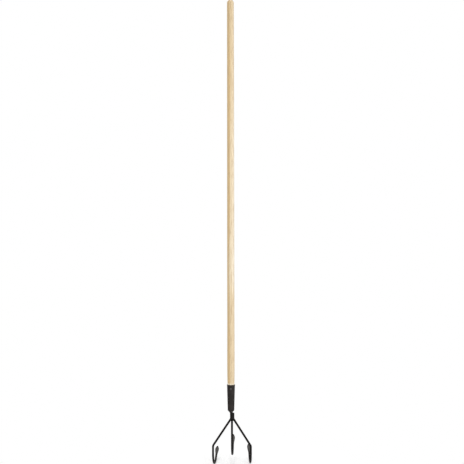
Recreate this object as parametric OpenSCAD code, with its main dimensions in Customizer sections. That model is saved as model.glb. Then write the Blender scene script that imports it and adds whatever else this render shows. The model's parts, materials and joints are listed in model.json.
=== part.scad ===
// Long handled cultivator claw: a turned wooden handle in a tapered steel socket,
// and three bent rods with forged leaf tips, welded together under the socket.
// The origin is on the handle's axis, halfway along the parallel grip. The hooks point to +Y.

/* [Handle] */
// Diameter of the parallel grip
grip_d = 24.5; // [23.5:0.5:30]
// Length of the parallel grip
grip_l = 330; // [150:5:700]
// Length from the grip to the top of the handle
upper_l = 760; // [400:5:950]
// Diameter at the top of the handle
top_d = 23.3; // [22.5:0.1:28]
// Diameter of the swell below the grip, where the handle is thickest
swell_d = 25.4; // [24:0.2:30]
// Length from the grip down to the swell
swell_l = 150; // [60:5:250]
// Radius of the rounded top end
end_round = 11; // [2:0.5:11]
// Length of the cone from the swell down to the socket's mouth
shoulder_l = 62; // [30:1:120]
// Chamfer on the lower end of the handle
tenon_chamfer = 1.5; // [0.5:0.25:3]

/* [Socket] */
// Outside diameter at the mouth
mouth_d = 27; // [25:0.5:29]
// Outside diameter above the nose
waist_d = 22.2; // [19:0.2:25]
// Length of the tapered body
body_l = 87.5; // [60:0.5:140]
// Length of the conical nose
nose_l = 6.5; // [6:0.5:14]
// Thickness of the steel
wall = 1.5; // [1:0.1:2.2]
// Outside radius of the bend from body to nose
nose_round = 4.5; // [3:0.5:6]
// Bevel on the outer edge of the mouth
lip = 0.5; // [0.2:0.1:0.8]
// Free space between the handle's lower end and the nose
end_gap = 17.5; // [8:0.5:30]

/* [Screw] */
// Distance of the screw below the mouth
screw_drop = 13; // [8:1:25]
// Diameter of the shank
screw_d = 4; // [3:0.25:5]
// Length under the head
screw_l = 17; // [12:1:20]
// Diameter of the head
head_d = 7; // [6:0.25:9]
// Height of the head
head_h = 2.4; // [1.8:0.1:3]
// Length of each slot of the cross recess
recess_l = 3.6; // [2.5:0.1:4.5]
// Width of each slot of the cross recess
recess_w = 1; // [0.8:0.1:1.4]
// Depth of the cross recess
recess_h = 1.1; // [0.6:0.1:1.4]

/* [Tines] */
// Diameter of the rods
rod_d = 7; // [5:0.25:8]
// Distance from the centre tine to each outer tine
tine_spacing = 64; // [45:0.5:90]
// Depth of the fork below the socket's nose
fork_drop = 22; // [16:0.5:35]
// Height over which the outer tines spread
spread_h = 92; // [60:1:130]
// Radius of the two bends in each outer tine
bend_r = 12; // [8:1:20]
// Straight length of the left tine from its lower bend to its hook
left_drop = 25.5; // [12:0.5:60]
// Straight length of the right tine from its lower bend to its hook
right_drop = 22; // [12:0.5:60]
// How much higher the centre hook starts than the right one
centre_lift = 25; // [0:0.5:50]
// Radius of the hooks
hook_r = 40; // [25:1:55]
// Angle of the left hook
left_hook = 128; // [90:1:150]
// Angle of the right hook
right_hook = 134; // [90:1:150]
// Angle of the centre hook
centre_hook = 139; // [90:1:150]
// Angle by which the outer hooks turn inwards
toe_in = 5; // [0:1:12]
// Straight length between hook and leaf
shank_l = 10; // [5:1:30]
// Angle by which the bundle of shanks is turned about the stem
bundle_turn = 9; // [0:1:20]
// Gap between the weld under the nose and the free ends of the shanks
free_gap = 0.6; // [0.3:0.1:3]
// Gap between the stem's top and the handle's lower end
stem_gap = 4; // [2:0.5:6]

/* [Leaf tips] */
// Length of a leaf
leaf_l = 38; // [24:1:50]
// Greatest width of a leaf
leaf_w = 13; // [9:0.5:18]
// Thickness at the greatest width
leaf_t = 3; // [2:0.1:4]
// Distance of the greatest width from the tip
leaf_widest = 14; // [8:0.5:18]
// Width of the blunt tip
tip_w = 1.8; // [1:0.1:3]
// Thickness of the blunt tip
tip_t = 1.4; // [1:0.1:2]
// Fullness of the outline towards the tip: 1 is a sine curve, less is blunter
tip_power = 0.85; // [0.6:0.05:1.2]
// Roundness of the flat section: 1 is an ellipse, less is flatter
flat_power = 0.65; // [0.5:0.05:1]

/* [Welds] */
// Diameter of the weld beads
bead_d = 5; // [4:0.1:6]
// Distance between the ripples of a bead
ripple_l = 2.4; // [1.8:0.1:3]
// How far a bead stands out of the valley between two shanks
bead_proud = 1.2; // [0.6:0.1:1.8]
// Depth to which the side beads fill the forks
web_depth = 6.5; // [4:0.5:9]
// Radius of the weld under the nose
fillet_r = 1.9; // [1.5:0.1:2.5]

/* [Fits] */
// Radial clearance of the handle in the socket
handle_fit = 0.15; // [0.05:0.05:0.3]
// Radial clearance of the stem in the nose and of the screw in its holes
hole_fit = 0.1; // [0.05:0.05:0.2]
// Gap between neighbouring shanks
shank_gap = 0.9; // [0.1:0.1:0.9]
// Gap between a weld, or the screw's head, and the steel it sits on
seat_fit = 0.05; // [0.02:0.01:0.1]

/* [Hidden] */
$fn = 64;

// Sides and rings of a leaf's loft, and steps of a rounded corner
leaf_sides = 20;
leaf_rings = 15;
corner_steps = 8;
// Length by which a cut runs past the face that it opens
past = 1;
// Length by which a run of rod reaches into a bend, and what the bend is thicker by on its radius
lap = 0.5;
bend_extra = 0.02;

wood = [0.88, 0.79, 0.64];
black_steel = [0.18, 0.17, 0.165];
weld_steel = [0.26, 0.25, 0.245];

// Heights and radii in the shared frame
swell_z = -grip_l / 2 - swell_l;
mouth_z = swell_z - shoulder_l;
top_z = grip_l / 2 + upper_l;
nose_z = mouth_z - body_l - nose_l;
tenon_l = body_l - end_gap;
fork_z = nose_z - fork_drop;
stem_top_z = mouth_z - tenon_l - stem_gap;
shank_top_z = nose_z - seat_fit - fillet_r - free_gap;
hole_r = rod_d / 2 + hole_fit;
nose_tip_r = hole_r + wall;
nose_angle = atan2(waist_d / 2 - nose_tip_r, nose_l);

// The three shanks stand at the corners of an equilateral triangle; the stem is on the axis
shank_pitch = rod_d + shank_gap;
stem_place = [0, 0, 0];
right_place = shank_place(bundle_turn);
centre_place = shank_place(bundle_turn + 60);
// Distance by which each outer tine spreads sideways from its shank
left_spread = tine_spacing - centre_place.x;
right_spread = tine_spacing + centre_place.x - right_place.x;
right_hook_z = fork_z - spread_h - bend_reach(right_spread) - right_drop;
centre_hook_z = right_hook_z + centre_lift;

// Diameter of a leaf's root, a hair thinner than the rod that it is sunk in
root_d = rod_d - 2 * bend_extra;
// Distance of a bead's axis from the line between the centres of its two shanks
bead_out = rod_d / 2 + bead_proud - bead_d / 2;
// Height of the upper end of the beads' axes
bead_top_z = shank_top_z - bead_d / 2;

// Outside and inside radius of the socket's body at a depth below its mouth
function socket_r(depth) = (mouth_d - (mouth_d - waist_d) * depth / body_l) / 2;
function bore_r(depth) = socket_r(depth) - wall;
function tenon_r(depth) = bore_r(depth) - handle_fit;
function unit(v) = v / norm(v);

// Place of a shank beside the stem, and the slant and bends of an outer tine
function shank_place(angle) = shank_pitch * [cos(angle), sin(angle), 0];
function spread_angle(spread) = atan2(spread, spread_h);
function bend_reach(spread) = bend_r * tan(spread_angle(spread) / 2);

// Points of the arc of radius r that rounds the corner b of the outline a, b, c
function round_corner(a, b, c, r) =
    let (u = unit(a - b), v = unit(c - b), half = acos(u * v) / 2)
    let (centre = b + unit(u + v) * r / sin(half), from = b + u * r / tan(half))
    let (start = atan2(from.y - centre.y, from.x - centre.x))
    let (sweep = (u.x * v.y - u.y * v.x > 0 ? -1 : 1) * (180 - 2 * half))
    [for (i = [0 : corner_steps])
        centre + r * [cos(start + sweep * i / corner_steps), sin(start + sweep * i / corner_steps)]];

// Handle: dome, slow upper taper, parallel grip, swell, shoulder cone and tenon, as one turned outline
module handle() {
    flat_r = top_d / 2 - end_round;
    dome_z = top_z - end_round;
    color(wood) difference() {
        rotate_extrude() {
            polygon([
                [0, mouth_z - tenon_l],
                [tenon_r(tenon_l) - tenon_chamfer, mouth_z - tenon_l],
                [tenon_r(tenon_l - tenon_chamfer), mouth_z - tenon_l + tenon_chamfer],
                [tenon_r(0), mouth_z],
                [swell_d / 2, swell_z],
                [grip_d / 2, -grip_l / 2],
                [grip_d / 2, grip_l / 2],
                [top_d / 2, dome_z],
                [flat_r, dome_z],
                [flat_r, top_z],
                [0, top_z]
            ]);
            intersection() {
                translate([flat_r, dome_z]) circle(r = end_round);
                translate([flat_r, dome_z]) square(end_round);
            }
        }
        screw_hole(screw_l + past);
    }
}

// Socket: one sheet outline from the mouth down to the hole in the nose and back up inside
module socket() {
    outer_corner = [waist_d / 2, mouth_z - body_l];
    inner_corner = outer_corner + [-wall, wall * tan(nose_angle / 2)];
    inner_tip = [hole_r, outer_corner.y + wall / sin(nose_angle) - (waist_d / 2 - hole_r) / tan(nose_angle)];
    outer_mouth = [mouth_d / 2, mouth_z - lip];
    inner_mouth = [bore_r(0), mouth_z];
    outer_tip = [nose_tip_r, nose_z];
    color(black_steel) difference() {
        rotate_extrude() polygon(concat(
            [inner_mouth, [mouth_d / 2 - lip, mouth_z], outer_mouth],
            round_corner(outer_mouth, outer_corner, outer_tip, nose_round),
            [outer_tip, [hole_r, nose_z], inner_tip],
            round_corner(inner_tip, inner_corner, inner_mouth, nose_round - wall)
        ));
        screw_hole(screw_l);
    }
}

// Hole for the screw's shank, from outside the socket's front wall to a depth under the head
module screw_hole(depth) {
    at_screw() translate([0, 0, -depth]) cylinder(d = screw_d + 2 * hole_fit, h = depth + mouth_d);
}

// Places children with +Z out of the front of the socket, at the plane that the screw's head seats on
module at_screw() {
    seat_y = socket_r(screw_drop - head_d / 2) + seat_fit;
    translate([0, -seat_y, mouth_z - screw_drop]) rotate([90, 0, 0]) children();
}

// Screw: domed head with a cross recess, plain shank and point
module socket_screw() {
    dome_r = (pow(head_h, 2) + pow(head_d / 2, 2)) / (2 * head_h);
    point_l = screw_d;
    color(black_steel) at_screw() {
        difference() {
            intersection() {
                translate([0, 0, head_h - dome_r]) sphere(r = dome_r);
                cylinder(d = head_d, h = head_h);
            }
            for (turn = [0, 90])
                rotate([0, 0, turn]) translate([-recess_l / 2, -recess_w / 2, head_h - recess_h])
                    cube([recess_l, recess_w, head_h]);
        }
        translate([0, 0, point_l - screw_l]) cylinder(d = screw_d, h = screw_l - point_l);
        translate([0, 0, -screw_l]) cylinder(d1 = 0, d2 = screw_d, h = point_l);
    }
}

// A straight run of rod along +Z that reaches into the bends at its ends, and children at its end
module run(length, grow = 0, into_start = lap, into_end = lap) {
    translate([0, 0, -into_start]) cylinder(d = rod_d + 2 * grow, h = into_start + length + into_end);
    translate([0, 0, length]) children();
}

// A bend of the rod from +Z towards +X, a hair thicker than the runs, and children at its end
module bend(radius, angle, grow = 0) {
    translate([radius, 0, 0]) rotate(180, [0, 1, 1])
        rotate_extrude(angle = angle) translate([radius, 0]) circle(d = rod_d + 2 * (grow + bend_extra));
    translate([radius * (1 - cos(angle)), 0, radius * sin(angle)]) rotate([0, angle, 0]) children();
}

// Shank and spread of an outer tine that leaves the axis towards -X, and children at the lower bend
module outer_neck(top, spread, grow = 0) {
    slant_l = norm([spread, spread_h]) - 2 * bend_reach(spread);
    translate([0, 0, top]) rotate([180, 0, 0])
        run(top - fork_z - bend_reach(spread), grow, into_start = 0)
        rotate([0, 0, 180]) bend(bend_r, spread_angle(spread), grow)
        run(slant_l, grow) children();
}

// Whole outer tine: neck, lower bend, straight drop, hook and leaf
module outer_tine(top, spread, drop, hook) {
    outer_neck(top, spread)
        rotate([0, 0, 180]) bend(bend_r, spread_angle(spread))
        run(drop)
        rotate([0, 0, toe_in - 90]) bend(hook_r, hook)
        run(shank_l, into_end = 0) leaf();
}

// Puts an outer tine that is drawn for the left on the right
module on_right() {
    translate(right_place) mirror([1, 0, 0]) children();
}

// Straight upper part of the centre tine, and children where its hook starts
module centre_neck(grow = 0) {
    translate(centre_place + [0, 0, shank_top_z]) rotate([180, 0, 0])
        run(shank_top_z - centre_hook_z, grow, into_start = 0) children();
}

module left_tine() {
    color(black_steel) outer_tine(stem_top_z, left_spread, left_drop, left_hook);
}

module right_tine() {
    color(black_steel) on_right() outer_tine(shank_top_z, right_spread, right_drop, right_hook);
}

module centre_tine() {
    color(black_steel) centre_neck()
        rotate([0, 0, -90]) bend(hook_r, centre_hook)
        run(shank_l, into_end = 0) leaf();
}

// Size of the leaf at a distance s from its tip
function ease(u) = u * u * (3 - 2 * u);
function leaf_blend(s) = ease((s - leaf_widest) / (leaf_l - leaf_widest));
function leaf_width(s) = s < leaf_widest
    ? tip_w + (leaf_w - tip_w) * pow(sin(90 * s / leaf_widest), tip_power)
    : leaf_w + (root_d - leaf_w) * leaf_blend(s);
function leaf_thick(s) = s < leaf_widest
    ? tip_t + (leaf_t - tip_t) * s / leaf_widest
    : leaf_t + (root_d - leaf_t) * leaf_blend(s);
function leaf_power(s) = s < leaf_widest ? flat_power : flat_power + (1 - flat_power) * leaf_blend(s);
function signed_pow(v, power) = sign(v) * pow(abs(v), power);
function leaf_section(s) = [
    for (j = [0 : leaf_sides - 1])
        let (angle = 360 * (j + 0.5) / leaf_sides, power = leaf_power(s))
        [leaf_thick(s) / 2 * signed_pow(cos(angle), power),
            leaf_width(s) / 2 * signed_pow(sin(angle), power), leaf_l - s]];

// Leaf: a loft along +Z from the round rod to a flat, blunt point, wide along Y; its root is in the rod
module leaf() {
    rings = [for (i = [0 : leaf_rings]) leaf_l * (1 + cos(180 * i / leaf_rings)) / 2];
    root = [for (p = leaf_section(leaf_l)) p - [0, 0, lap]];
    points = concat(root, [for (s = rings) each leaf_section(s)]);
    last = (leaf_rings + 1) * leaf_sides;
    sides = [
        for (i = [0 : leaf_rings], j = [0 : leaf_sides - 1])
            let (a = i * leaf_sides + j, b = i * leaf_sides + (j + 1) % leaf_sides)
            each [[a, a + leaf_sides, b + leaf_sides], [a, b + leaf_sides, b]]];
    base = [for (j = [0 : leaf_sides - 1]) j];
    tip = [for (j = [leaf_sides - 1 : -1 : 0]) last + j];
    polyhedron(points, concat([base], sides, [tip]));
}

// A bead of weld from one point to another, as a row of round ripples, cut to the three shanks
module bead(from, to) {
    count = ceil(norm(to - from) / ripple_l);
    color(weld_steel) difference() {
        for (i = [0 : count])
            translate(from + (to - from) * i / count) sphere(d = bead_d);
        outer_neck(stem_top_z, left_spread, seat_fit);
        on_right() outer_neck(shank_top_z, right_spread, seat_fit);
        centre_neck(seat_fit);
    }
}

// Place of a bead's axis in the valley between two shanks, on the side away from the third
function valley_place(a, b, third) = let (middle = (a + b) / 2) middle + bead_out * unit(middle - third);

// Bead along the valley between the stem and the right shank
module front_weld() {
    valley = valley_place(stem_place, right_place, centre_place);
    bead(valley + [0, 0, bead_top_z], valley + [0, 0, fork_z]);
}

// Bead from the outer valley between a shank and the centre one down into their fork
module side_bead(shank, third, slant) {
    valley = valley_place(shank, centre_place, third);
    slanted = shank + [web_depth * tan(slant), 0, 0];
    bead(valley + [0, 0, bead_top_z], (slanted + centre_place) / 2 + [0, 0, fork_z - web_depth]);
}

module left_weld() {
    side_bead(stem_place, right_place, -spread_angle(left_spread));
}

module right_weld() {
    side_bead(right_place, stem_place, spread_angle(right_spread));
}

// Quarter round ring in the corner between the nose and the stem
module nose_weld() {
    corner = [rod_d / 2 + seat_fit, nose_z - seat_fit];
    color(weld_steel) rotate_extrude() intersection() {
        translate(corner) circle(r = fillet_r);
        translate(corner - [0, fillet_r]) square(fillet_r);
    }
}

handle();
socket();
socket_screw();
nose_weld();
left_tine();
centre_tine();
right_tine();
front_weld();
left_weld();
right_weld();
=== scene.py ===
"""Long handled cultivator claw: a turned wooden handle in an enamelled socket, with bent and welded tines.

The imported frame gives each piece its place. The pieces are surfaces worked out with numpy, in metres,
with +Z up the handle, the hooks towards +Y and the tines spread along X.
"""

import json
import math

import bpy
import numpy as np
from bpy.props import FloatProperty, FloatVectorProperty, PointerProperty
from bpy.types import Operator, Panel, PropertyGroup
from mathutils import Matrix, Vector


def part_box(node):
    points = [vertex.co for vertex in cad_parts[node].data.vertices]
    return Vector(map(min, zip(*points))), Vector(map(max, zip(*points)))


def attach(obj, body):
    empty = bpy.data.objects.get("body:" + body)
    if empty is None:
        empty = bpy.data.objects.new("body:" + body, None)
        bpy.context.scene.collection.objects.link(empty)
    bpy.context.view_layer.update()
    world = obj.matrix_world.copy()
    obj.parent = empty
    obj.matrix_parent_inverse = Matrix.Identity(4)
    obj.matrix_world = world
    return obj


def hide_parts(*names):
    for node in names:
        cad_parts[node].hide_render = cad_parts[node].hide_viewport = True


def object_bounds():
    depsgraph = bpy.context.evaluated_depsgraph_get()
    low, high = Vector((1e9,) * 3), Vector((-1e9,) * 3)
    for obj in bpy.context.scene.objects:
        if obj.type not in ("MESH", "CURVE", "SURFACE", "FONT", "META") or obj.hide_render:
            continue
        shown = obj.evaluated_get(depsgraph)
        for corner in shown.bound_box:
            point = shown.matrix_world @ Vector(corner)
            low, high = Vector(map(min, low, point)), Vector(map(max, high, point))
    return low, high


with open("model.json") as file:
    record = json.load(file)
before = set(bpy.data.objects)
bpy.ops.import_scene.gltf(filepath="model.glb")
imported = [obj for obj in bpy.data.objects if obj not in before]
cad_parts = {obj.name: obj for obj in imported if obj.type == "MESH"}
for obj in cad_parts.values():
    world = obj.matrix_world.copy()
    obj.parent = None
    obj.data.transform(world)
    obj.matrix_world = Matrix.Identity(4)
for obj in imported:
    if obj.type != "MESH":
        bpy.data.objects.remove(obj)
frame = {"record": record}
CAD_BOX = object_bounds()

bl_info = {
    "name": "Long Handled Cultivator Claw",
    "version": (1, 0, 0),
    "blender": (4, 5, 0),
    "location": "3D View > Sidebar > Cultivator",
    "description": "Builds the dressed pieces of a long handled cultivator claw around its frame",
    "category": "Object",
}

MM = 0.001
UP = np.array([0.0, 0.0, 1.0])
BACK = np.array([0.0, 1.0, 0.0])
FULL_TURN = 2 * np.pi
WHITE = (1, 1, 1, 1)

# Streaks of the wood: how many to a metre across the grain and along it, and their detail
STREAKS = {
    "sway": (24.0, 2.2, 1.0),
    "patch": (170.0, 2.0, 2.0),
    "fleck": (360.0, 26.0, 2.0),
    "fibre": (1500.0, 18.0, 2.0),
    "pore": (2300.0, 75.0, 1.0),
}

# Finishes of the steel: specular level, roughness, grains of orange peel to a metre, and strength of bumps
ENAMELS = {
    "socket_enamel": (0.06, 0.74, 620.0, 0.25),
    "screw_blacking": (0.3, 0.42, 900.0, 0.2),
    "tine_enamel": (0.06, 0.44, 800.0, 0.22),
    "weld_enamel": (0.08, 0.5, 520.0, 0.5),
}

# Places and sizes that the frame gives
GRIP = frame["record"]["mounts"][0]["dims"]
HANDLE_LOW, HANDLE_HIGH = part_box("handle")
SOCKET_LOW, SOCKET_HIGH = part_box("socket")
SCREW_LOW, SCREW_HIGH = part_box("socket_screw")
LEFT_LOW, LEFT_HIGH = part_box("left_tine")
CENTRE_LOW, CENTRE_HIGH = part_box("centre_tine")
RIGHT_LOW, RIGHT_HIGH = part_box("right_tine")


def size(name, description, millimetres):
    """A length, given in millimetres and kept in metres."""
    return FloatProperty(name=name, description=description, default=millimetres * MM, min=0.0,
                         precision=5, unit="LENGTH")


def turn(name, description, degrees):
    """An angle, given in degrees and kept in radians."""
    return FloatProperty(name=name, description=description, default=math.radians(degrees),
                         unit="ROTATION", subtype="ANGLE")


def share(name, description, default):
    """A plain factor."""
    return FloatProperty(name=name, description=description, default=default, min=0.0, subtype="FACTOR")


def power(name, description, watts):
    """A lamp's power, in watts."""
    return FloatProperty(name=name, description=description, default=watts, min=0.0, unit="POWER")


def tint(name, description, red, green, blue):
    """A colour, given as linear light."""
    return FloatVectorProperty(name=name, description=description, default=(red, green, blue),
                               min=0.0, max=1.0, size=3, subtype="COLOR")


class HandleSizes(PropertyGroup):
    """Sizes of the turned handle."""

    grip_radius: size("Grip radius", "Radius of the parallel grip", GRIP["r_mm"])
    grip_length: size("Grip length", "Length of the parallel grip", GRIP["length_mm"])
    top_radius: size("Top radius", "Radius under the rounded top end", 11.65)
    end_round: size("Top rounding", "Radius of the rounded top end", 11)
    swell_radius: size("Swell radius", "Radius of the swell below the grip", 12.7)
    swell_length: size("Swell length", "Length from the grip down to the swell", 150)
    mouth_radius: size("Neck radius", "Radius where the handle enters the socket", 11.85)
    tenon_radius: size("Tenon radius", "Radius at the lower end of the tenon", 9.93)
    tenon_edge: size("Tenon edge", "Rounding of the tenon's lower edge", 1.5)
    grip_ease: size("Grip easing", "Radius that eases the grip into its cones", 9000)
    swell_ease: size("Swell easing", "Radius that rounds the swell", 2700)
    neck_ease: size("Neck easing", "Radius that eases the handle into its tenon", 900)


class GrainSizes(PropertyGroup):
    """The log that the handle is cut from."""

    ring: size("Ring", "Width of a growth ring", 3.4)
    sway: size("Sway", "How far the rings waver", 5)
    pith_left: size("Pith to the left", "Distance of the pith to the left of the handle's axis", 59.2)
    pith_front: size("Pith in front", "Distance of the pith in front of the handle's axis", 3)
    pith_lean: share("Pith lean", "How far the pith leans forward for each length upwards", 0.004)
    # Heartwood lies on the left: darker wood that is also painted shade. Sapwood lies on the right: paler
    # wood that is also painted light from the key lamp.
    heart_and_shade: size("Heartwood", "Distance from the pith at which the heartwood starts to fade", 54)
    sap_and_light: size("Sapwood", "Distance from the pith at which the sapwood starts", 64)
    clear_height: size("Clear height", "Height in the frame at which the heartwood draws back", 10)
    clear_shift: size("Clear shift", "How far the heartwood draws back there", 2)
    # Painted highlight: a pale band of wood just above the socket's mouth.
    neck_highlight_band: size("Neck band", "Height of the pale band above the socket", 5)


class SocketSizes(PropertyGroup):
    """Sizes of the pressed socket and of its screw."""

    wall: size("Wall", "Thickness of the steel", 1.5)
    waist_radius: size("Waist radius", "Outside radius above the nose", 11.1)
    nose_length: size("Nose length", "Length of the conical nose", 6.5)
    nose_round: size("Nose rounding", "Outside radius of the bend from body to nose", 4.5)
    hole_radius: size("Hole radius", "Radius of the hole in the nose", 3.6)
    lip_round: size("Lip rounding", "Radius of the mouth's outer edge", 0.8)
    edge_round: size("Edge rounding", "Radius of the cut edges", 0.3)
    head_radius: size("Screw head radius", "Radius of the screw's head", 3.5)
    head_height: size("Screw head height", "Height of the screw's head", 2.4)
    screw_length: size("Screw length", "Length of the screw under its head", 17)
    screw_radius: size("Screw radius", "Radius over the screw's thread", 2)
    thread_pitch: size("Thread pitch", "Distance between turns of the thread", 1.6)
    recess_length: size("Recess length", "Length of each slot of the cross recess", 3.6)
    recess_width: size("Recess width", "Width of each slot of the cross recess", 1)
    recess_depth: size("Recess depth", "Depth of the cross recess", 1.1)


class TineSizes(PropertyGroup):
    """Sizes of the bent rods and their forged leaves."""

    rod_radius: size("Rod radius", "Radius of the round rods", 3.5)
    cut_edge: size("Cut edge", "Rounding of the rods' cut ends", 0.5)
    fork_drop: size("Fork drop", "Depth of the fork below the nose", 22)
    spread_height: size("Spread height", "Height over which the outer tines spread", 92)
    bend_radius: size("Bend radius", "Radius of the two bends of an outer tine", 12)
    hook_radius: size("Hook radius", "Radius of the hooks", 40)
    left_hook: turn("Left hook", "Angle of the left hook", 128)
    right_hook: turn("Right hook", "Angle of the right hook", 134)
    centre_hook: turn("Centre hook", "Angle of the centre hook", 139)
    toe_in: turn("Toe in", "Angle by which the outer hooks turn inwards", 5)
    shank: size("Shank", "Straight length between hook and leaf", 10)
    leaf_length: size("Leaf length", "Length of a forged leaf", 38)
    leaf_width: size("Leaf width", "Greatest width of a leaf", 13)
    leaf_thickness: size("Leaf thickness", "Thickness at the greatest width", 3)
    leaf_widest: size("Widest place", "Distance of the greatest width from the tip", 14)
    tip_width: size("Tip width", "Width of the blunt tip", 1.8)
    tip_thickness: size("Tip thickness", "Thickness of the blunt tip", 1.4)
    tip_fullness: share("Tip fullness", "Power of the outline towards the tip: less is blunter", 0.85)
    flatness: share("Flatness", "Power of the flat section: 1 is an ellipse, less is flatter", 0.65)
    hollow: share("Hollow", "How far the pressed faces sink, as a share of the thickness", 0.2)


class WeldSizes(PropertyGroup):
    """Sizes of the weld beads."""

    bead_radius: size("Bead radius", "Radius of the beads between the shanks", 2.5)
    proud: size("Bead height", "How far a bead stands out of its valley", 1.2)
    ripple: size("Ripple", "Distance between ripples", 2.4)
    ripple_depth: share("Ripple depth", "Depth of the ripples as a share of the radius", 0.16)
    crest_wear: share("Crest wear", "Wear on the crests of the ripples", 0.1)
    web_depth: size("Web depth", "Depth to which the side beads fill the forks", 6.5)
    fillet: size("Fillet", "Radius of the weld under the nose", 1.9)
    top_gap: size("Top gap", "Distance of a bead's upper end below the shanks' cut ends", 2.5)


class FinishColours(PropertyGroup):
    """Colours of the wood and the steel."""

    wood_pale: tint("Pale wood", "Wood in the middle of the handle", 0.9, 0.772, 0.558)
    # Sapwood colour: on the right side it is also painted light from the key lamp, and above the socket it is
    # a painted highlight.
    wood_sap_and_highlight: tint("Sapwood", "Palest wood, on the side away from the pith", 0.955, 0.85, 0.665)
    wood_warm: tint("Warm wood", "Wood towards the ends", 0.8, 0.632, 0.394)
    # Heartwood colour: on the left side it is also painted shade.
    wood_heart_and_shade: tint("Heartwood", "Darker wood on the side near the pith", 0.785, 0.552, 0.264)
    wood_late: tint("Late wood", "Dense late wood of the growth rings", 0.58, 0.415, 0.225)
    wood_pore: tint("Pores", "Open pores and fibre marks", 0.42, 0.28, 0.14)
    tine_enamel: tint("Tine enamel", "Black enamel on the tines", 0.0105, 0.0092, 0.0085)
    socket_enamel: tint("Socket enamel", "Black enamel on the socket", 0.035, 0.0307, 0.029)
    screw_blacking: tint("Screw blacking", "Dulled blacking on the screw", 0.082, 0.0715, 0.068)
    weld_enamel: tint("Weld enamel", "Enamel over the rougher welds", 0.014, 0.0124, 0.0115)
    # Grey of steel where the enamel is worn thin, which is also the colour of the painted highlight on the
    # leaves.
    steel_and_highlight_grey: tint("Bare steel", "Steel where the enamel has rubbed thin", 0.36, 0.345, 0.33)


class StudioSettings(PropertyGroup):
    """Camera and lamps of the studio."""

    distance: size("Camera distance", "Distance of the camera from the handle's axis", 2421)
    camera_height: size("Camera height", "Height of the camera in the frame", 139)
    camera_aside: size("Camera aside", "How far the camera stands to the right of its aim", 4.2)
    camera_turn: turn("Camera turn", "How far the camera stands round to the right", 2.4)
    camera_roll: turn("Camera roll", "How far the camera leans about its line of sight", 0.084)
    lens: FloatProperty(name="Lens", description="Focal length in millimetres on a 36 mm sensor",
                        default=55.47, min=1.0, unit="CAMERA")
    ambient: share("Ambient", "Strength of the studio's soft light from all round", 0.51)
    key: power("Key", "Power of the large lamp on the right", 36)
    fill: power("Fill", "Power of the lamp in front", 33)
    top: power("Top", "Power of the lamp overhead", 400)


class ClawSettings(PropertyGroup):
    """All settings of the cultivator."""

    handle: PointerProperty(type=HandleSizes)
    grain: PointerProperty(type=GrainSizes)
    socket: PointerProperty(type=SocketSizes)
    tines: PointerProperty(type=TineSizes)
    welds: PointerProperty(type=WeldSizes)
    finish: PointerProperty(type=FinishColours)
    studio: PointerProperty(type=StudioSettings)


# Surfaces

def smooth_step(x, low, high):
    """0 below low, 1 above high, and the cubic 3t^2 - 2t^3 between them."""
    t = np.clip((x - low) / (high - low), 0, 1)
    return t * t * (3 - 2 * t)


def signed_power(x, exponent):
    """The power of x's size, with x's sign."""
    return np.sign(x) * np.abs(x) ** exponent


def unit(v):
    """Vectors along the last axis, divided by their lengths."""
    return v / np.linalg.norm(v, axis=-1, keepdims=True)


def around(sides):
    """Angles of the corners of a ring."""
    return np.arange(sides) * FULL_TURN / sides


def rounded_outline(corners, step, closed=False):
    """Points along the straight lines between corners, which are rows of radius, height and rounding.

    An arc of radius q rounds a corner whose two lines meet at an angle 2h: it touches them q / tan(h)
    from the corner, and its middle lies q / sin(h) from the corner on the line that halves the angle.
    Straight stretches are cut into equal lengths of at most step.
    """
    rows, arc_step = np.asarray(corners, float), math.radians(7)
    places, roundings = rows[:, :2], rows[:, 2]
    arcs = []
    for k, (place, rounding) in enumerate(zip(places, roundings)):
        inner = closed or 0 < k < len(places) - 1
        if not inner or rounding == 0:
            arcs.append(place[None])
            continue
        before = unit(places[k - 1] - place)
        after = unit(places[(k + 1) % len(places)] - place)
        half = math.acos(np.clip(before @ after, -1, 1)) / 2
        sweep = np.pi - 2 * half
        middle = place + unit(before + after) * rounding / math.sin(half)
        first = place + before * rounding / math.tan(half) - middle
        last = place + after * rounding / math.tan(half) - middle
        t = np.linspace(0, 1, 4 + int(sweep / arc_step))[:, None]
        arcs.append(middle + (np.sin((1 - t) * sweep) * first + np.sin(t * sweep) * last) / math.sin(sweep))
    points = []
    for k, arc in enumerate(arcs):
        points.append(arc)
        if closed or k < len(arcs) - 1:
            start, end = arc[-1], arcs[(k + 1) % len(arcs)][0]
            cuts = max(1, math.ceil(np.linalg.norm(end - start) / step))
            t = np.arange(1, cuts)[:, None] / cuts
            points.append(start + t * (end - start))
    return np.concatenate(points)


def turned(outline, sides):
    """An outline of radius r and height z carried round the Z axis: (r cos a, r sin a, z)."""
    a = around(sides)
    r, z = outline[:, :1], outline[:, 1:]
    return np.stack([r * np.cos(a), r * np.sin(a), z + 0 * a], -1)


def grid_quads(count, sides, closed=False):
    """Quads that join each ring of a grid to the next one, where point j of ring i is number i sides + j.

    A closed grid also joins its last ring to its first.
    """
    i, j = np.meshgrid(np.arange(count if closed else count - 1), np.arange(sides), indexing="ij")
    below, beside = (i + 1) % count, (j + 1) % sides
    quads = np.stack([i * sides + j, i * sides + beside, below * sides + beside, below * sides + j], -1)
    return quads.reshape(-1, 4)


def put(name, data):
    """A new object at the origin of the scene."""
    thing = bpy.data.objects.new(name, data)
    bpy.context.scene.collection.objects.link(thing)
    return thing


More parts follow.
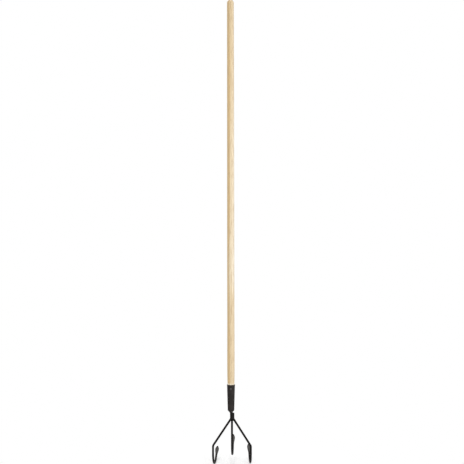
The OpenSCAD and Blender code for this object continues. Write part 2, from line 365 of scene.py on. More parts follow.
def skin(name, rings, closed=False, wear_and_highlight=None):
    """Mesh over a grid of points, rings by sides by 3, where each ring closes on itself.

    Quads join neighbouring rings. An open grid has a fan of triangles from each end ring to its middle.
    If the volume that the faces enclose, a sixth of the sum of a . (b x c), comes out negative, all faces
    are turned round. The wear, which on the leaves is a painted highlight, is a grid of one value a point,
    and a fan's middle has the mean of its ring.
    """
    count, sides, _ = rings.shape
    points, ends = rings.reshape(-1, 3), [0, -1]
    quads = grid_quads(count, sides, closed)
    fans = np.zeros((0, 3), int)
    if not closed:
        points = np.concatenate([points, rings[ends].mean(1)])
        side = np.arange(sides)
        last = (count - 1) * sides
        upper = np.stack([(side + 1) % sides, side, np.full(sides, count * sides)], -1)
        lower = np.stack([last + side, last + (side + 1) % sides, np.full(sides, count * sides + 1)], -1)
        fans = np.concatenate([upper, lower])
    triangles = np.concatenate([quads[:, [0, 1, 2]], quads[:, [0, 2, 3]], fans])
    a, b, c = (points[triangles[:, corner]] for corner in range(3))
    if np.sum(a * np.cross(b, c)) < 0:
        quads, fans = quads[:, ::-1], fans[:, ::-1]
    mesh = bpy.data.meshes.new(name)
    mesh.from_pydata(points.tolist(), [], quads.tolist() + fans.tolist())
    mesh.shade_smooth()
    if wear_and_highlight is not None:
        grid = np.broadcast_to(wear_and_highlight, (count, sides))
        values = grid.ravel() if closed else np.concatenate([grid.ravel(), grid[ends].mean(1)])
        mesh.attributes.new("wear_and_highlight", "FLOAT", "POINT").data.foreach_set("value", values.astype(np.float32))
    if mesh.validate():
        raise RuntimeError(f"{name} has invalid faces")
    return put(name, mesh)


def dress(piece, node, material):
    """Gives a piece its finish, and the place of its CAD node on the one body."""
    piece.data.materials.append(material)
    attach(piece, "root")
    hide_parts(node)


def bent_path(start, heading, stages, step):
    """Centre line of a bent rod, as points, headings and the distance from the start.

    A stage is a straight length, then a bend of some radius and angle towards a direction that is square
    to the heading. At angle t of the bend the point is start + radius (sin t heading + (1 - cos t) towards),
    and the heading there is cos t heading + sin t towards. A stage without a bend has angle 0.
    """
    points, headings, distances = [], [], []
    done, bend_step = 0.0, math.radians(3)
    for length, radius, angle, towards in stages:
        cuts = max(2, math.ceil(length / step))
        s = np.linspace(0, length, cuts, endpoint=False)[:, None]
        points.append(start + s * heading)
        headings.append(np.broadcast_to(heading, (cuts, 3)))
        distances.append(done + s[:, 0])
        start, done = start + length * heading, done + length
        if angle == 0:
            continue
        t = np.linspace(0, angle, 1 + max(4, math.ceil(angle / bend_step)))[:, None]
        bend = start + radius * (np.sin(t) * heading + (1 - np.cos(t)) * towards)
        turning = np.cos(t) * heading + np.sin(t) * towards
        points.append(bend[:-1])
        headings.append(turning[:-1])
        distances.append(done + radius * t[:-1, 0])
        start, heading, done = bend[-1], turning[-1], done + radius * angle
    return np.vstack([*points, start]), np.vstack([*headings, heading]), np.hstack([*distances, done])


def leaf_section(s, sizes):
    """Width, thickness and section power of a tine at distance s from its tip.

    From the tip to the widest place the width grows as a power of a sine, and the thickness evenly; from
    there to the leaf's root both ease into the rod. A quarter circle rounds the last bit of the tip, whose
    end ring keeps a small size.
    """
    rod, smallest = 2 * sizes.rod_radius, 0.05
    near = np.clip(s / sizes.leaf_widest, 0, 1)
    to_rod = smooth_step(s, sizes.leaf_widest, sizes.leaf_length)
    swell = np.sin(near * np.pi / 2) ** sizes.tip_fullness
    width = sizes.tip_width + (sizes.leaf_width - sizes.tip_width) * swell
    thickness = sizes.tip_thickness + (sizes.leaf_thickness - sizes.tip_thickness) * near
    blunt = np.sqrt(1 - (1 - np.clip(s / (sizes.tip_thickness / 2), smallest, 1)) ** 2)
    width = blunt * (width + (rod - width) * to_rod)
    thickness = blunt * (thickness + (rod - thickness) * to_rod)
    return width, thickness, sizes.flatness + (1 - sizes.flatness) * to_rod


def leaf_painted_highlight(s, a, sizes):
    """Painted highlight of a tine at distance s from its tip and angle a round its section, carried by the
    wear attribute.

    A leaf's faces are painted lighter in their middle, a painted highlight from the lamp above, and less
    towards the edges by the fourth power of sin(a), so the edges keep a painted shade. The painted highlight
    starts a little behind the tip and fades out along the leaf's root and the shank.
    """
    # Painted highlight: how light the middle of a leaf face is painted, and how much of that the edges lose.
    most, highlight_edge_falloff = 0.39, 0.7
    across = most * (1 - highlight_edge_falloff * np.abs(np.sin(a)) ** 4)
    fade = smooth_step(s, 0.6 * sizes.leaf_length, sizes.leaf_length + sizes.shank)
    along = smooth_step(s, 1 * MM, 9 * MM) * (1 - fade)
    return along[:, None] * across


def tine_rings(start, stages, width_way, sizes, step, sides):
    """A rod carried along its path and flattened to a leaf at its end, with the painted highlight of each
    point, carried by the wear attribute.

    The section at angle a is width/2 sin^p(a) across and thickness/2 cos^p(a) deep, with signs kept. The
    way across is width_way less its part along the heading. The pressed faces sink by the hollow where
    cos(a) is large, and the cut upper end is rounded by a quarter circle.
    """
    points, headings, gone = bent_path(start, -UP, stages, step)
    edge = sizes.cut_edge * (1 - np.cos(np.linspace(0, np.pi / 2, 5)[:-1]))
    tip_run = sizes.tip_thickness * np.linspace(0, 1, 7)[1:-1]
    ends = np.concatenate([edge, gone[-1] - tip_run])
    order = np.unique(np.concatenate([gone, ends]))
    points = np.stack([np.interp(order, gone, points[:, k]) for k in range(3)], -1)
    headings = unit(np.stack([np.interp(order, gone, headings[:, k]) for k in range(3)], -1))
    left = gone[-1] - order
    width, thickness, exponent = leaf_section(left, sizes)
    rounding = np.clip(1 - order / sizes.cut_edge, 0, 1)
    cut = 1 - (1 - np.sqrt(1 - rounding ** 2)) * sizes.cut_edge / sizes.rod_radius
    leaf = 1 - smooth_step(left, sizes.leaf_widest, sizes.leaf_length)
    across = unit(width_way - (headings @ width_way)[:, None] * headings)
    deep = np.cross(headings, across)
    a = around(sides)
    sine = signed_power(np.sin(a), exponent[:, None])
    cosine = signed_power(np.cos(a), exponent[:, None])
    sunk = 1 - sizes.hollow * leaf[:, None] * np.clip(1 - sine ** 2, 0, 1) ** 2
    out = (cut * width / 2)[:, None] * sine
    down = (cut * thickness / 2)[:, None] * cosine * sunk
    rings = points[:, None] + out[..., None] * across[:, None] + down[..., None] * deep[:, None]
    # The leaves' painted highlight goes into the wear attribute.
    return rings, leaf_painted_highlight(left, a, sizes)


def bead_rings(start, end, weld, sides):
    """A weld bead from one point to another: a tube with round ends and a row of overlapping ripples.

    At distance v along it and angle a round it, the radius is R e(v) (1 - depth (1 - |sin|)), where the
    sine is of pi (v / ripple + lean cos a), so that each ripple leans, and e(v) rounds the ends as half
    spheres. The wear follows the sine's size, which is 1 on the crests.
    """
    radius, lean = weld.bead_radius, 0.35
    cap_rings, ripple_rings = 9, 12
    length = np.linalg.norm(end - start)
    along = (end - start) / length
    beside = unit(np.cross(along, BACK))
    before = np.cross(along, beside)
    cap = -radius * np.cos(np.linspace(0, np.pi / 2, cap_rings)[:-1])
    body = np.linspace(0, length, ripple_rings * math.ceil(length / weld.ripple))
    v = np.concatenate([cap, body, length - cap[::-1]])[1:-1]
    over = np.maximum(np.maximum(-v, v - length), 0) / radius
    a = around(sides)
    wave = np.abs(np.sin(np.pi * (v[:, None] / weld.ripple + lean * np.cos(a))))
    r = radius * np.sqrt(1 - over ** 2)[:, None] * (1 - weld.ripple_depth * (1 - wave))
    spokes = np.cos(a)[:, None] * beside + np.sin(a)[:, None] * before
    rings = (start + v[:, None] * along)[:, None] + r[..., None] * spokes
    return rings, weld.crest_wear * wave


# Shader nodes

def feed(tree, socket, source):
    """Links a socket to another node's output, or sets it to a plain value."""
    if isinstance(source, bpy.types.NodeSocket):
        tree.links.new(source, socket)
    else:
        socket.default_value = source


def new_node(tree, kind, *sources):
    """A new node of some kind, with its first inputs fed in order."""
    node = tree.nodes.new("ShaderNode" + kind)
    for socket, source in zip(node.inputs, sources):
        feed(tree, socket, source)
    return node


def maths(tree, operation, *values, clamp=False):
    """Output of a Math node."""
    node = new_node(tree, "Math", *values)
    node.operation, node.use_clamp = operation, clamp
    return node.outputs[0]


def added(tree, *values):
    """Sum of any number of values."""
    total = values[0]
    for value in values[1:]:
        total = maths(tree, "ADD", total, value)
    return total


def stepped(tree, value, span, becomes=(0.0, 1.0)):
    """Output of a Map Range node: a span of values eased into another, and level outside it."""
    node = new_node(tree, "MapRange", value, *span, *becomes)
    node.interpolation_type = "SMOOTHSTEP"
    return node.outputs[0]


def mixed(tree, factor, first, second, blend="MIX"):
    """Colour output of a Mix node."""
    node = new_node(tree, "Mix")
    node.data_type, node.blend_type = "RGBA", blend
    for index, source in ((0, factor), (6, first), (7, second)):
        feed(tree, node.inputs[index], source)
    return node.outputs[2]


def stretched(tree, vector, across, along):
    """A place scaled by one factor along X and Y, and by another along Z."""
    factors = new_node(tree, "CombineXYZ", across, across, along).outputs[0]
    node = new_node(tree, "VectorMath", vector, factors)
    node.operation = "MULTIPLY"
    return node.outputs[0]


def length_of(tree, vector):
    """Length of a vector."""
    node = new_node(tree, "VectorMath", vector)
    node.operation = "LENGTH"
    return node.outputs["Value"]


def cloud(tree, vector, scale, detail, rough=0.5):
    """Value of a Noise Texture, about 0.5 on average."""
    node = new_node(tree, "TexNoise")
    for label, source in (("Vector", vector), ("Scale", scale), ("Detail", detail), ("Roughness", rough)):
        feed(tree, node.inputs[label], source)
    return node.outputs[0]


def new_group(name, inputs, outputs):
    """An empty shader node group: its tree, the values that it is given and the sockets that it fills."""
    tree = bpy.data.node_groups.new(name, "ShaderNodeTree")
    for way, sockets in (("INPUT", inputs), ("OUTPUT", outputs)):
        for label, kind in sockets.items():
            tree.interface.new_socket(label, in_out=way, socket_type="NodeSocket" + kind)
    return tree, tree.nodes.new("NodeGroupInput").outputs, tree.nodes.new("NodeGroupOutput").inputs


def placed(tree, group, **sources):
    """Outputs of a node group placed in a tree, with its inputs fed by name."""
    node = new_node(tree, "Group")
    node.node_tree = group
    for label, source in sources.items():
        feed(tree, node.inputs[label], source)
    return node.outputs


def streak_group():
    """Fine streaks along Z: noise whose places are scaled far more across than along, stretched to 0 to 1."""
    tree, given, gives = new_group(
        "streaks",
        {"Vector": "Vector", "Across": "Float", "Along": "Float", "Detail": "Float"},
        {"Streak": "Float"})
    place = stretched(tree, given["Vector"], given["Across"], given["Along"])
    fine = cloud(tree, place, scale=1.0, detail=given["Detail"], rough=0.6)
    feed(tree, gives["Streak"], stepped(tree, fine, (0.28, 0.72)))
    return tree


def enamel_group():
    """Brushed and stoved enamel: colour, roughness, bare metal and height over a surface.

    Two sizes of cloud shift the colour, the larger one also the gloss, and a third raises the orange peel.
    Where the piece carries a little wear the enamel is thin and the steel greys it, and where the wear,
    broken up by a cloud, passes about a half, it gives way to bare steel. On the leaves that input is a
    painted highlight, and the grey that it gives there is painted highlight.
    """
    if "enamel" in bpy.data.node_groups:
        return bpy.data.node_groups["enamel"]
    tree, given, gives = new_group(
        "enamel",
        {"Vector": "Vector", "Wear": "Float", "Enamel": "Color", "Steel": "Color", "Roughness": "Float",
         "Peel": "Float"},
        {"Base Color": "Color", "Roughness": "Float", "Metallic": "Float", "Height": "Float"})
    place, wear_and_highlight, steel_and_highlight = given["Vector"], given["Wear"], given["Steel"]
    pools = cloud(tree, place, scale=55.0, detail=3.0)
    specks = cloud(tree, place, scale=900.0, detail=2.0)
    peel = cloud(tree, place, scale=given["Peel"], detail=1.0)
    breaks = cloud(tree, place, scale=420.0, detail=4.0, rough=0.65)
    pooled = stepped(tree, pools, (0.3, 0.7), (0.8, 1.15))
    specked = stepped(tree, specks, (0.62, 0.75), (0.0, 0.25))
    colour = mixed(tree, 1.0, given["Enamel"], added(tree, pooled, specked), "MULTIPLY")
    # Grey from thin enamel, which on the leaves is a painted highlight.
    thin_and_highlight = stepped(tree, wear_and_highlight, (0.0, 0.5), (0.0, 0.2))
    bare = stepped(tree, maths(tree, "MULTIPLY_ADD", breaks, 0.6, wear_and_highlight), (0.72, 0.95))
    colour = mixed(tree, bare, mixed(tree, thin_and_highlight, colour, steel_and_highlight), steel_and_highlight)
    rough = added(tree, given["Roughness"], stepped(tree, pools, (0.3, 0.7), (-0.06, 0.08)))
    feed(tree, gives["Base Color"], colour)
    feed(tree, gives["Roughness"], maths(tree, "MULTIPLY_ADD", bare, -0.12, rough, clamp=True))
    feed(tree, gives["Metallic"], bare)
    feed(tree, gives["Height"], maths(tree, "MULTIPLY_ADD", bare, -0.5, peel))
    return tree


def new_material(name):
    """A material with a Principled shader: its tree, its shader and the piece's own coordinates."""
    material = bpy.data.materials.new(name)
    material.use_nodes = True
    tree = material.node_tree
    place = new_node(tree, "TexCoord").outputs["Object"]
    return material, tree, tree.nodes["Principled BSDF"], place


def raised(tree, shader, height, strength, distance):
    """Lets a height over the surface tilt a shader's normal."""
    bump = new_node(tree, "Bump")
    bump.inputs["Strength"].default_value = strength
    bump.inputs["Distance"].default_value = distance
    feed(tree, bump.inputs["Height"], height)
    feed(tree, shader.inputs["Normal"], bump.outputs[0])


def enamel_material(name, colours):
    """One of the ENAMELS over steel, in the colour of that name, with the wear that the piece carries,
    which on the leaves is a painted highlight.
    """
    shine, rough, peel, bumps = ENAMELS[name]
    material, tree, shader, place = new_material(name)
    wear_and_highlight = new_node(tree, "Attribute")
    wear_and_highlight.attribute_name = "wear_and_highlight"
    finish = placed(tree, enamel_group(), Vector=place, Wear=wear_and_highlight.outputs["Fac"], Roughness=rough, Peel=peel,
                    Enamel=(*getattr(colours, name), 1), Steel=(*colours.steel_and_highlight_grey, 1))
    for label in ("Base Color", "Roughness", "Metallic"):
        feed(tree, shader.inputs[label], finish[label])
    shader.inputs["Specular IOR Level"].default_value = shine
    raised(tree, shader, finish["Height"], strength=bumps, distance=0.3 * MM)
    return material


def pith_distance(tree, x, y, z, sway, grain):
    """Distance from the pith line, which lies to the left of the handle and leans forward a little.

    The line wavers by the sway, and near the clear height it stands further off by the clear shift.
    """
    shift = maths(tree, "MULTIPLY", maths(tree, "SUBTRACT", sway, 0.5), grain.sway)
    off_clear = maths(tree, "ABSOLUTE", maths(tree, "SUBTRACT", z, grain.clear_height))
    clear_left = grain.pith_left + grain.clear_shift
    left = stepped(tree, off_clear, (30 * MM, 180 * MM), (clear_left, grain.pith_left))
    front = maths(tree, "MULTIPLY_ADD", z, grain.pith_lean, grain.pith_front)
    flat = new_node(tree, "CombineXYZ", added(tree, x, shift, left), added(tree, y, shift, front))
    return length_of(tree, flat.outputs[0])


def growth_rings(tree, distance, ring):
    """Share of dense late wood at a distance from the pith.

    In each ring it grows as the cube of the way through the ring and drops in the last tenth, and each
    year has a strength of its own.
    """
    years = maths(tree, "DIVIDE", distance, ring)
    through = maths(tree, "FRACT", years)
    drop = stepped(tree, through, (0.9, 1.0), (1.0, 0.0))
    late = maths(tree, "MULTIPLY", maths(tree, "POWER", through, 3.0), drop)
    year = new_node(tree, "TexWhiteNoise")
    year.noise_dimensions = "1D"
    feed(tree, year.inputs["W"], maths(tree, "FLOOR", years))
    strength = stepped(tree, year.outputs["Value"], (0.0, 1.0), (0.08, 0.36))
    return maths(tree, "MULTIPLY", late, strength)


def wood_material(colours, grain):
    """Straight grained ash under satin lacquer, cut from the side of a log.

    Growth rings are circles about the pith line, so they run up the sides as long streaks and cross the round
    end as arcs. The side near the pith, on the left, is darker heartwood that is also painted shade, and the
    side away from it, on the right, is pale sapwood that is also painted light from the lamp on the right.
    The wood warms towards both ends, and a narrow pale band above the socket is a painted highlight. Late
    wood, flecks, fibres and pores lie over all of these, and the end grain is darker.
    """
    material, tree, shader, place = new_material("lacquered_ash")
    x, y, z = new_node(tree, "SeparateXYZ", place).outputs
    group, streaks = streak_group(), {}
    for kind, (across, along, detail) in STREAKS.items():
        streaks[kind] = placed(tree, group, Vector=place, Across=across, Along=along, Detail=detail)["Streak"]
    fibre = streaks["fibre"]
    distance = pith_distance(tree, x, y, z, streaks["sway"], grain)

    # Shares of the colours, from the deepest layer to the uppermost
    upwards = stepped(tree, z, (300 * MM, 850 * MM))
    downwards = stepped(tree, z, (-105 * MM, 25 * MM), (1.0, 0.05))
    patches = stepped(tree, streaks["patch"], (0.0, 1.0), (-0.25, 0.35))
    warm = maths(tree, "ADD", added(tree, upwards, downwards), patches, clamp=True)
    # Sapwood on the right, away from the pith: paler wood that is also painted light from the key lamp on the
    # right.
    sap_and_light_side = stepped(tree, distance, (grain.sap_and_light, grain.sap_and_light + 8 * MM))
    sap_and_light = maths(tree, "MULTIPLY", sap_and_light_side, stepped(tree, warm, (0.3, 1.0), (0.95, 0.15)))
    # Heartwood on the left, near the pith: darker wood that is also painted shade on the side away from the
    # key lamp.
    heart_and_shade = stepped(tree, distance, (grain.heart_and_shade, grain.heart_and_shade + 6 * MM), (0.95, 0.0))
    # Painted highlight: a narrow pale band of wood just above the socket.
    highlight_band_end = SOCKET_HIGH.z + grain.neck_highlight_band
    painted_highlight_band = stepped(tree, z, (highlight_band_end - 1 * MM, highlight_band_end + 1 * MM), (0.9, 0.0))
    late = growth_rings(tree, distance, grain.ring)
    flecks = stepped(tree, streaks["fleck"], (0.4, 1.0), (0.0, 0.66))
    fibres = stepped(tree, fibre, (0.45, 1.0), (0.0, 0.2))
    pores = stepped(tree, streaks["pore"], (0.8, 1.0), (0.0, 0.3))
    end_grain = stepped(tree, z, (HANDLE_HIGH.z - 9 * MM, HANDLE_HIGH.z - 2 * MM), (0.0, 0.9))

    colour = (*colours.wood_pale, 1)
    for mask, layer in ((warm, colours.wood_warm), (sap_and_light, colours.wood_sap_and_highlight), (heart_and_shade, colours.wood_heart_and_shade),
                        (painted_highlight_band, colours.wood_sap_and_highlight), (late, colours.wood_late), (flecks, colours.wood_late),
                        (fibres, colours.wood_late), (pores, colours.wood_pore),
                        (end_grain, colours.wood_pore)):
        colour = mixed(tree, mask, colour, (*layer, 1))
    feed(tree, shader.inputs["Base Color"], colour)
    feed(tree, shader.inputs["Roughness"], stepped(tree, fibre, (0.0, 1.0), (0.36, 0.5)))
    shader.inputs["Coat Weight"].default_value = 0.2
    shader.inputs["Coat Roughness"].default_value = 0.3
    height = maths(tree, "SUBTRACT", maths(tree, "MULTIPLY", fibre, 0.4), added(tree, pores, late))
    raised(tree, shader, height, strength=0.25, distance=0.15 * MM)
    return material


# Stage

def add_lamp(name, azimuth, elevation, distance, width, height, watts):
    """A soft area lamp on a sphere about the grip's middle, aimed at it. Azimuth 0 is the front."""
    lamp = bpy.data.lights.new(name, "AREA")
    lamp.shape, lamp.size, lamp.size_y, lamp.energy = "RECTANGLE", width, height, watts
    holder = put(name, lamp)
    aside, up = math.radians(azimuth), math.radians(elevation)
    way = Vector((math.sin(aside) * math.cos(up), -math.cos(aside) * math.cos(up), math.sin(up)))
    holder.location = way * distance
    holder.rotation_euler = way.to_track_quat("Z", "Y").to_euler()
    holder.visible_camera = False


def seen_rays(tree):
    """1 for rays that show the studio's white, and 0 for the others, which only light the tool."""
    rays = new_node(tree, "LightPath").outputs
    either = maths(tree, "MAXIMUM", rays["Is Camera Ray"], rays["Is Glossy Ray"])
    return maths(tree, "MAXIMUM", either, rays["Is Transmission Ray"])


def white_world(ambient):
    """A studio that is white to the camera and in reflections, and a softer light for the rest."""
    world = bpy.data.worlds.new("white_studio")
    world.use_nodes = True
    tree = world.node_tree
    soft = tree.nodes["Background"]
    soft.inputs["Color"].default_value = WHITE
    soft.inputs["Strength"].default_value = ambient
    white = new_node(tree, "Background", WHITE)
    both = new_node(tree, "MixShader", seen_rays(tree), soft.outputs[0], white.outputs[0])
    feed(tree, tree.nodes["World Output"].inputs["Surface"], both.outputs[0])
    bpy.context.scene.world = world


def floor_material(near, far):
    """Pale matt floor that takes shadows, and fades to the studio's white between two distances."""
    material, tree, shader, place = new_material("pale_floor")
    patches = stepped(tree, cloud(tree, place, scale=3.0, detail=3.0), (0.3, 0.7))
    feed(tree, shader.inputs["Base Color"],
         mixed(tree, patches, (0.58, 0.58, 0.58, 1), (0.62, 0.62, 0.62, 1)))
    shader.inputs["Roughness"].default_value = 0.9
    shader.inputs["Specular IOR Level"].default_value = 0.0
    glow = new_node(tree, "Emission", WHITE, 0.4)
    lit = new_node(tree, "AddShader", shader.outputs[0], glow.outputs[0])
    white = new_node(tree, "Emission", WHITE, 1.0)
    away = stepped(tree, length_of(tree, stretched(tree, place, 1.0, 0.0)), (near, far))
    looks = new_node(tree, "MixShader", away, lit.outputs[0], white.outputs[0])
    both = new_node(tree, "MixShader", seen_rays(tree), shader.outputs[0], looks.outputs[0])
    feed(tree, tree.nodes["Material Output"].inputs["Surface"], both.outputs[0])
    return material


def add_floor(height, radii, sides):
    """A flat disc: rings of points (r cos a, r sin a, height), quads between them and one face inside."""
    rings = turned(np.array([(r, height) for r in radii]), sides)
    quads = grid_quads(len(radii), sides)[:, ::-1]
    mesh = bpy.data.meshes.new("floor")
    mesh.from_pydata(rings.reshape(-1, 3).tolist(), [], quads.tolist() + [list(range(sides))])
    mesh.materials.append(floor_material(near=0.12, far=0.45))
    floor = put("floor", mesh)


class CLAW_OT_stage(Operator):
    """Set the camera, the white studio, its lamps and the floor"""

    bl_idname = "claw.stage"
    bl_label = "Studio"

    def execute(self, context):
        studio = context.scene.claw.studio
        context.scene.view_settings.view_transform = "Standard"
        camera = put("camera", bpy.data.cameras.new("camera"))
        camera.data.sensor_width, camera.data.lens = 36.0, studio.lens
        cosine, sine = math.cos(studio.camera_turn), math.sin(studio.camera_turn)
        aside, away = studio.camera_aside, studio.distance
        camera.location = (away * sine + aside * cosine, aside * sine - away * cosine, studio.camera_height)
        camera.rotation_euler = (math.pi / 2, studio.camera_roll, studio.camera_turn)
        context.scene.camera = camera
        white_world(studio.ambient)
        add_lamp("key_lamp", azimuth=62, elevation=5, distance=3.0, width=1.5, height=2.6, watts=studio.key)
        add_lamp("fill_lamp", azimuth=-8, elevation=6, distance=3.6, width=1.2, height=2.4, watts=studio.fill)
        add_lamp("top_lamp", azimuth=0, elevation=88, distance=9.0, width=5.0, height=5.0, watts=studio.top)
        add_floor(CAD_BOX[0][2], radii=(0.3, 1.0, 3.0, 9.0, 30.0), sides=96)
        return {"FINISHED"}


class CLAW_OT_handle(Operator):
    """Turn the wooden handle from one outline"""

    bl_idname = "claw.handle"
    bl_label = "Turned Handle"

    def execute(self, context):
        claw = context.scene.claw
        sizes = claw.handle
        grip_end, pole = sizes.grip_length / 2, 0.2 * MM
        outline = rounded_outline([
            (pole, HANDLE_HIGH.z, 0),
            (sizes.top_radius, HANDLE_HIGH.z, sizes.end_round),
            (sizes.grip_radius, grip_end, sizes.grip_ease),
            (sizes.grip_radius, -grip_end, sizes.grip_ease),
            (sizes.swell_radius, -grip_end - sizes.swell_length, sizes.swell_ease),
            (sizes.mouth_radius, SOCKET_HIGH.z, sizes.neck_ease),
            (sizes.tenon_radius, HANDLE_LOW.z, sizes.tenon_edge),
            (pole, HANDLE_LOW.z, 0),
        ], step=8 * MM)
        piece = skin("turned_handle", turned(outline, sides=96))
        dress(piece, "handle", wood_material(claw.finish, claw.grain))
        return {"FINISHED"}


class CLAW_OT_socket(Operator):
    """Press the tapered socket from one closed sheet outline"""

    bl_idname = "claw.socket"
    bl_label = "Socket"

    def execute(self, context):
        claw = context.scene.claw
        sizes = claw.socket
        mouth, mouth_z, nose_z = SOCKET_HIGH.x, SOCKET_HIGH.z, SOCKET_LOW.z
        corner_z = nose_z + sizes.nose_length
        tip = sizes.hole_radius + sizes.wall
        lean = math.atan2(sizes.waist_radius - tip, sizes.nose_length)
        inner_corner_z = corner_z + sizes.wall * math.tan(lean / 2)
        inner_tip_z = corner_z + sizes.wall / math.sin(lean)
        inner_tip_z -= (sizes.waist_radius - sizes.hole_radius) / math.tan(lean)
        outline = rounded_outline([
            (mouth - sizes.wall, mouth_z, sizes.edge_round),
            (mouth, mouth_z, sizes.lip_round),
            (sizes.waist_radius, corner_z, sizes.nose_round),
            (tip, nose_z, sizes.edge_round),
            (sizes.hole_radius, nose_z, 0),
            (sizes.hole_radius, inner_tip_z, 0),
            (sizes.waist_radius - sizes.wall, inner_corner_z, sizes.nose_round - sizes.wall),
        ], step=3 * MM, closed=True)
        rim_wear, rim_depth = 0.42, 0.7 * MM
        rim = rim_wear * np.exp(-((mouth_z - outline[:, 1]) / rim_depth) ** 2)
        piece = skin("pressed_socket", turned(outline, sides=96), closed=True, wear_and_highlight=rim[:, None])
        dress(piece, "socket", enamel_material("socket_enamel", claw.finish))
        return {"FINISHED"}


class CLAW_OT_screw(Operator):
    """Make the round head wood screw that holds the handle in the socket"""

    bl_idname = "claw.screw"
    bl_label = "Socket Screw"

    def execute(self, context):
        claw = context.scene.claw
        rings, wear_and_highlight = self.rings(claw.socket, sides=96)
        seat_y = SCREW_HIGH.y - claw.socket.screw_length
        height = (SCREW_LOW.z + SCREW_HIGH.z) / 2
        x, up, out = np.moveaxis(rings, -1, 0)
        piece = skin("round_head_screw", np.stack([x, seat_y - out, height + up], -1), wear_and_highlight=wear_and_highlight)
        dress(piece, "socket_screw", enamel_material("screw_blacking", claw.finish))
        return {"FINISHED"}

    @staticmethod
    def rings(sizes, sides):
        """Rings from the head's middle over its dome and rim to the threaded shank and its point.

        The dome is part of a sphere that passes through rim and top. Inside either slot of the cross the dome
        drops to a floor that rises away from the middle, and the slots' edges are worn. The thread's ridge
        follows v / pitch - a / 2 pi.
        """
        recess_wear, plain_length, thread_depth = 0.5, 3 * MM, 0.28
        dome_rings, shank_rings = 56, 160
        a = around(sides)
        dome = (sizes.head_height ** 2 + sizes.head_radius ** 2) / (2 * sizes.head_height)
        r = sizes.head_radius * np.linspace(0.01, 0.985, dome_rings)[:, None] + 0 * a
        z = sizes.head_height - dome + np.sqrt(dome ** 2 - r ** 2)
        x, y = np.abs(r * np.cos(a)), np.abs(r * np.sin(a))
        half_length, half_width, edge = sizes.recess_length / 2, sizes.recess_width / 2, 0.12 * MM

        def slot(long, wide):
            ends = smooth_step(half_length - long, -edge, edge)
            return ends * smooth_step(half_width - wide, -edge, edge)

        cross = np.maximum(slot(x, y), slot(y, x))
        floor = sizes.head_height - sizes.recess_depth * (1.2 - 0.5 * r / half_length)
        z = z + cross * np.minimum(floor - z, 0)
        wear_and_highlight = recess_wear * np.exp(-((cross - 0.5) / 0.3) ** 2) * (r < half_length)
        rim = np.array([(1, 0.10), (1, 0.02), (0.985, 0), (0.8, 0)]) * [sizes.head_radius, sizes.head_height]
        v = np.linspace(0, sizes.screw_length, shank_rings)[:, None] + 0 * a
        ridge = 1 - np.abs(2 * ((v / sizes.thread_pitch - a / FULL_TURN) % 1) - 1)
        bite = smooth_step(v, plain_length, 1.5 * plain_length)
        point = np.clip((sizes.screw_length - v) / (2 * sizes.screw_radius), 0.02, 1)
        shank = sizes.screw_radius * point * (1 - thread_depth * bite * (1 - ridge ** 3))
        radius = np.concatenate([r, rim[:, :1] + 0 * a, shank])
        height = np.concatenate([z, rim[:, 1:] + 0 * a, -v])
        wear_and_highlight = np.concatenate([wear_and_highlight, 0 * radius[dome_rings:]])
        return np.stack([radius * np.cos(a), radius * np.sin(a), height], -1), wear_and_highlight


def shank_places(rod_radius):
    """Where the shanks stand, seen from above: stem on the handle's axis, centre one and right one."""
    centre = np.array([(CENTRE_LOW.x + CENTRE_HIGH.x) / 2, CENTRE_LOW.y + rod_radius, 0])
    right = np.array([RIGHT_LOW.x + rod_radius, RIGHT_LOW.y + rod_radius, 0])
    return np.zeros(3), centre, right


def spreads(rod_radius):
    """How far the left and the right tine spread along X from their shanks."""
    return LEFT_LOW.x + rod_radius, RIGHT_HIGH.x - RIGHT_LOW.x - 2 * rod_radius


def outer_stages(sizes, top, lowest, spread, hook):
    """Stages of an outer tine from its cut end down to its hook, and the direction that the hook turns to.

    The shank bends outwards at the fork, the rod slants over the spread and bends back upright, and the
    hook turns back and a little inwards. A bend by an angle reaches radius tan(angle / 2) from its corner.
    """
    way = np.array([math.copysign(1, spread), 0, 0])
    lean = math.atan2(abs(spread), sizes.spread_height)
    reach = sizes.bend_radius * math.tan(lean / 2)
    fork_z = SOCKET_LOW.z - sizes.fork_drop
    hook_z = lowest + sizes.hook_radius + sizes.rod_radius
    upright = -math.cos(lean) * way - math.sin(lean) * UP
    inwards = math.cos(sizes.toe_in) * BACK - math.sin(sizes.toe_in) * way
    stages = [
        (top - fork_z - reach, sizes.bend_radius, lean, way),
        (math.hypot(spread, sizes.spread_height) - 2 * reach, sizes.bend_radius, lean, upright),
        (fork_z - sizes.spread_height - reach - hook_z, sizes.hook_radius, hook, inwards),
    ]
    return stages, inwards


class CLAW_OT_tines(Operator):
    """Bend the three rods and forge their leaf tips"""

    bl_idname = "claw.tines"
    bl_label = "Tines"

    def execute(self, context):
        claw = context.scene.claw
        sizes = claw.tines
        enamel = enamel_material("tine_enamel", claw.finish)
        stem, centre, beside = shank_places(sizes.rod_radius)
        left_spread, right_spread = spreads(sizes.rod_radius)
        left = outer_stages(sizes, LEFT_HIGH.z, LEFT_LOW.z, left_spread, sizes.left_hook)
        right = outer_stages(sizes, RIGHT_HIGH.z, RIGHT_LOW.z, right_spread, sizes.right_hook)
        drop = CENTRE_HIGH.z - (CENTRE_LOW.z + sizes.hook_radius + sizes.rod_radius)
        straight = [(drop, sizes.hook_radius, sizes.centre_hook, BACK)], BACK
        leaf = (sizes.shank + sizes.leaf_length, 0, 0, BACK)
        for side, shank, top, (stages, hook_way) in (("left", stem, LEFT_HIGH.z, left),
                                                     ("right", beside, RIGHT_HIGH.z, right),
                                                     ("centre", centre, CENTRE_HIGH.z, straight)):
            rings, wear_and_highlight = tine_rings(shank + top * UP, [*stages, leaf], np.cross(hook_way, UP), sizes,
                                     step=2 * MM, sides=40)
            dress(skin(f"{side}_bent_tine", rings, wear_and_highlight=wear_and_highlight), f"{side}_tine", enamel)
        return {"FINISHED"}


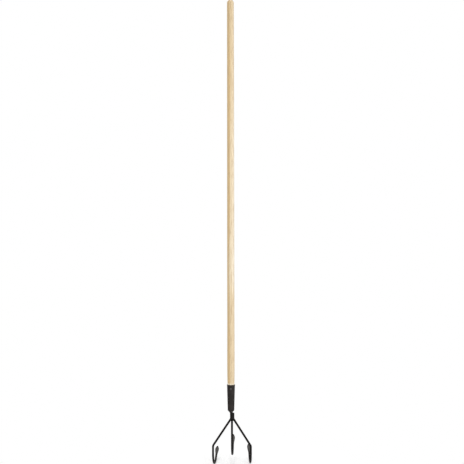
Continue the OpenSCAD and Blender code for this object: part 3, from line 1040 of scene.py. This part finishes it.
class CLAW_OT_welds(Operator):
    """Lay the rippled weld beads that join the shanks to each other and to the nose"""

    bl_idname = "claw.welds"
    bl_label = "Welds"

    def execute(self, context):
        claw = context.scene.claw
        tine, weld = claw.tines, claw.welds
        enamel = enamel_material("weld_enamel", claw.finish)
        fork_z = SOCKET_LOW.z - tine.fork_drop
        top_z = CENTRE_HIGH.z - weld.top_gap
        out = tine.rod_radius + weld.proud - weld.bead_radius
        stem, centre, beside = shank_places(tine.rod_radius)

        def valley(first, second, third):
            """Where a bead lies between two shanks, on the side away from the third."""
            middle = (first + second) / 2
            return middle + out * unit(middle - third)

        front = valley(stem, beside, centre)
        beads = {"front": (front + top_z * UP, front + fork_z * UP)}
        left_spread, right_spread = spreads(tine.rod_radius)
        for side, shank, third, spread in (("left", stem, beside, left_spread),
                                           ("right", beside, stem, right_spread)):
            slanted = shank + np.array([weld.web_depth * spread / tine.spread_height, 0, 0])
            fork = (slanted + centre) / 2 + (fork_z - weld.web_depth) * UP
            beads[side] = (valley(shank, centre, third) + top_z * UP, fork)
        for side, (start, end) in beads.items():
            rings, wear_and_highlight = bead_rings(start, end, weld, sides=40)
            dress(skin(f"{side}_weld_bead", rings, wear_and_highlight=wear_and_highlight), f"{side}_weld", enamel)
        rings = self.nose_ring(weld, tine.rod_radius, sides=132)
        piece = skin("nose_weld_ring", rings, closed=True, wear_and_highlight=weld.crest_wear)
        dress(piece, "nose_weld", enamel)
        return {"FINISHED"}

    @staticmethod
    def nose_ring(weld, rod_radius, sides):
        """A quarter round in the corner of nose and stem, carried round the stem with a ripple.

        At angle p of the quarter and angle a round the stem, the radius of the quarter is
        fillet (1 - depth (1 - |sin(n a / 2 + p / 2)|)), with n whole ripples to a turn.
        """
        a = around(sides)
        p = np.linspace(-np.pi / 2, 0, 12)[:, None]
        count = round(FULL_TURN * (rod_radius + weld.fillet) / weld.ripple)
        r = weld.fillet * (1 - weld.ripple_depth * (1 - np.abs(np.sin(count * a / 2 + p / 2))))
        radius = rod_radius + np.vstack([r * np.cos(p), 0 * a])
        height = SOCKET_LOW.z + np.vstack([r * np.sin(p), 0 * a])
        return np.stack([radius * np.cos(a), radius * np.sin(a), height], -1)


class CLAW_PT_panel(Panel):
    """Sizes, finishes and pieces of the cultivator"""

    bl_idname = "CLAW_PT_panel"
    bl_label = "Cultivator Claw"
    bl_space_type = "VIEW_3D"
    bl_region_type = "UI"
    bl_category = "Cultivator"

    def draw(self, context):
        claw = context.scene.claw
        for setting in ClawSettings.__annotations__:
            group = getattr(claw, setting)
            box = self.layout.box()
            for label in group.__annotations__:
                box.prop(group, label)
        for operator in OPERATORS:
            self.layout.operator(operator.bl_idname)


OPERATORS = (CLAW_OT_stage, CLAW_OT_handle, CLAW_OT_socket, CLAW_OT_screw, CLAW_OT_tines, CLAW_OT_welds)
CLASSES = (HandleSizes, GrainSizes, SocketSizes, TineSizes, WeldSizes, FinishColours, StudioSettings,
           ClawSettings, *OPERATORS, CLAW_PT_panel)


def register():
    for kind in CLASSES:
        bpy.utils.register_class(kind)
    bpy.types.Scene.claw = PointerProperty(type=ClawSettings)


def unregister():
    del bpy.types.Scene.claw
    for kind in reversed(CLASSES):
        bpy.utils.unregister_class(kind)


def main():
    """Registers the add-on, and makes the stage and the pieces."""
    register()
    bpy.ops.claw.stage()
    bpy.ops.claw.handle()
    bpy.ops.claw.socket()
    bpy.ops.claw.screw()
    bpy.ops.claw.tines()
    bpy.ops.claw.welds()


if __name__ == "__main__":
    main()
